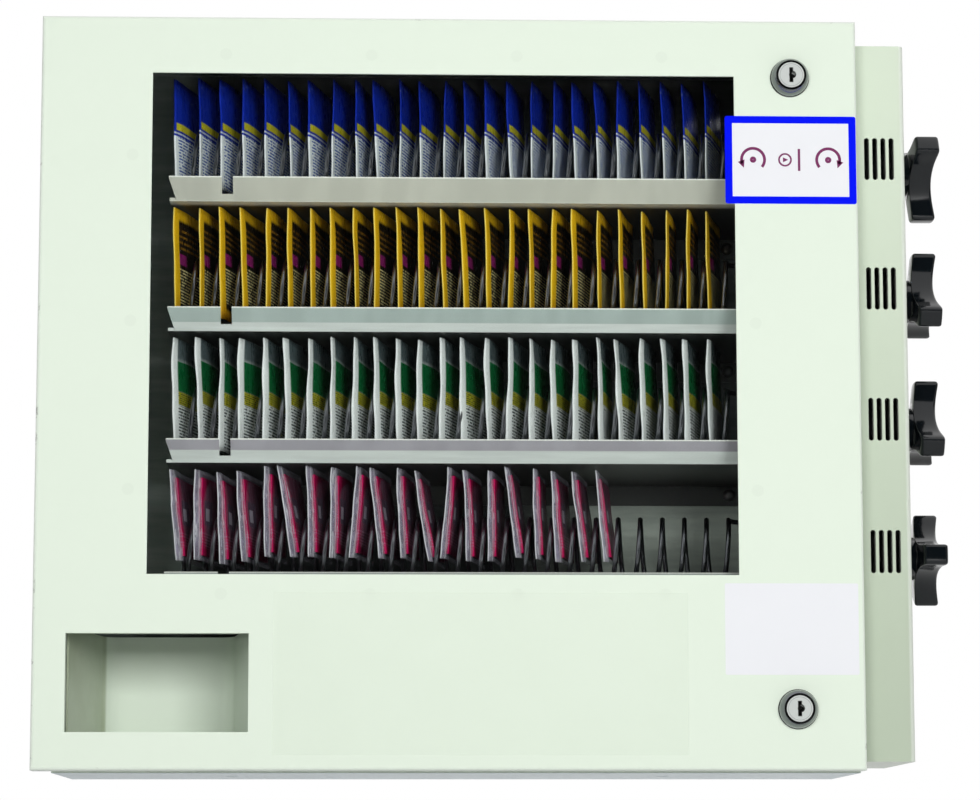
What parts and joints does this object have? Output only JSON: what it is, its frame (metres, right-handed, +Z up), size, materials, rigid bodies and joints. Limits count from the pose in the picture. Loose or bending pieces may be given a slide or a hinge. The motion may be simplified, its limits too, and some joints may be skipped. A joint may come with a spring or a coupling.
{
  "type": "restroom vending machine",
  "caption": "Wall cabinet that vends small packets: glazed locking door, spiral-fed rows, side coin slots with lobed knobs, and a delivery opening at the lower left.",
  "frame": {"origin": "centre of the four wall bolts, on the wall plane behind the cabinet", "axes": "+X to the right as seen from the front, +Z up, front facing -Y"},
  "size_m": [0.5723, 0.1594, 0.47],
  "materials": {
    "cream_enamel": "gloss cream enamel on folded sheet steel",
    "tray_enamel": "satin pale grey enamel",
    "plain_steel": "zinc plated",
    "spiral_wire": "drawn wire",
    "bush_bronze": "machined",
    "lock_chrome": "bright chrome",
    "clear_pane": "clear sheet",
    "knob_black": "moulded, gloss",
    "hub_plastic": "moulded",
    "coin_zinc": "die cast",
    "packet_blue": "printed foil film",
    "packet_yellow": "printed foil film",
    "packet_green": "printed foil film",
    "packet_pink": "printed card in a clear bag"
  },
  "bodies": {
    "cabinet": {"cabinet_shell": "cream_enamel", "front_frame": "cream_enamel", "bearing_plate": "plain_steel", "coin_housing": "cream_enamel", "shaft_bushes": "bush_bronze", "coin_chute": "plain_steel", "cash_box": "plain_steel", "delivery_bin": "cream_enamel", "tray_screws": "plain_steel", "hinge_cabinet_leaf": "plain_steel", "hinge_pin": "plain_steel", "tray_1": "tray_enamel", "tray_2": "tray_enamel", "tray_3": "tray_enamel", "tray_4": "tray_enamel", "coin_guide_1": "coin_zinc", "coin_guide_2": "coin_zinc", "coin_guide_3": "coin_zinc", "coin_guide_4": "coin_zinc"},
    "door": {"door_pan": "cream_enamel", "delivery_frame": "cream_enamel", "window_studs": "plain_steel", "window_pane": "clear_pane", "window_retainers": "plain_steel", "retainer_nuts": "plain_steel", "hinge_door_leaf": "plain_steel", "lock_nuts": "plain_steel", "lock_body_upper": "lock_chrome", "lock_body_lower": "lock_chrome"},
    "upper_lock": {"lock_plug_upper": "lock_chrome", "lock_cam_upper": "plain_steel"},
    "lower_lock": {"lock_plug_lower": "lock_chrome", "lock_cam_lower": "plain_steel"},
    "row_1_drive": {"spiral_coil_1": "spiral_wire", "coil_hub_1": "hub_plastic", "drive_shaft_1": "plain_steel", "coin_drum_1": "coin_zinc", "knob_1": "knob_black"},
    "row_1_stock": {"packets_1": "packet_blue"},
    "row_2_drive": {"spiral_coil_2": "spiral_wire", "coil_hub_2": "hub_plastic", "drive_shaft_2": "plain_steel", "coin_drum_2": "coin_zinc", "knob_2": "knob_black"},
    "row_2_stock": {"packets_2": "packet_yellow"},
    "row_3_drive": {"spiral_coil_3": "spiral_wire", "coil_hub_3": "hub_plastic", "drive_shaft_3": "plain_steel", "coin_drum_3": "coin_zinc", "knob_3": "knob_black"},
    "row_3_stock": {"packets_3": "packet_green"},
    "row_4_drive": {"spiral_coil_4": "spiral_wire", "coil_hub_4": "hub_plastic", "drive_shaft_4": "plain_steel", "coin_drum_4": "coin_zinc", "knob_4": "knob_black"},
    "row_4_stock": {"packets_4": "packet_pink"}
  },
  "joints": [
    {"name": "door_swing", "type": "hinge", "parent": "cabinet", "child": "door", "pos_m": [-0.24825, -0.1255, 0], "axis": [0, 0, -1], "range_deg": [0, 110]},
    {"name": "upper_lock_turn", "type": "hinge", "parent": "door", "child": "upper_lock", "pos_m": [0.212, -0.15, 0.197], "axis": [0, -1, 0], "range_deg": [0, 90]},
    {"name": "lower_lock_turn", "type": "hinge", "parent": "door", "child": "lower_lock", "pos_m": [0.212, -0.15, -0.197], "axis": [0, 1, 0], "range_deg": [0, 90]},
    {"name": "row_1_turn", "type": "hinge", "parent": "cabinet", "child": "row_1_drive", "pos_m": [0, -0.082, 0.151], "axis": [-1, 0, 0], "range_deg": [0, 360]},
    {"name": "row_1_feed", "type": "slide", "parent": "cabinet", "child": "row_1_stock", "axis": [-1, 0, 0], "range_m": [0, 0.0141]},
    {"name": "row_2_turn", "type": "hinge", "parent": "cabinet", "child": "row_2_drive", "pos_m": [0, -0.082, 0.068], "axis": [-1, 0, 0], "range_deg": [0, 360]},
    {"name": "row_2_feed", "type": "slide", "parent": "cabinet", "child": "row_2_stock", "axis": [-1, 0, 0], "range_m": [0, 0.0141]},
    {"name": "row_3_turn", "type": "hinge", "parent": "cabinet", "child": "row_3_drive", "pos_m": [0, -0.082, -0.015], "axis": [-1, 0, 0], "range_deg": [0, 360]},
    {"name": "row_3_feed", "type": "slide", "parent": "cabinet", "child": "row_3_stock", "axis": [-1, 0, 0], "range_m": [0, 0.0141]},
    {"name": "row_4_turn", "type": "hinge", "parent": "cabinet", "child": "row_4_drive", "pos_m": [0, -0.082, -0.098], "axis": [-1, 0, 0], "range_deg": [0, 360]},
    {"name": "row_4_feed", "type": "slide", "parent": "cabinet", "child": "row_4_stock", "axis": [-1, 0, 0], "range_m": [0, 0.0141]}
  ],
  "couplings": [
    {"joint": "row_1_feed", "follows": "row_1_turn", "m_per_rad": 0.0022282},
    {"joint": "row_2_feed", "follows": "row_2_turn", "m_per_rad": 0.0022282},
    {"joint": "row_3_feed", "follows": "row_3_turn", "m_per_rad": 0.0022282},
    {"joint": "row_4_feed", "follows": "row_4_turn", "m_per_rad": 0.0022282}
  ]
}
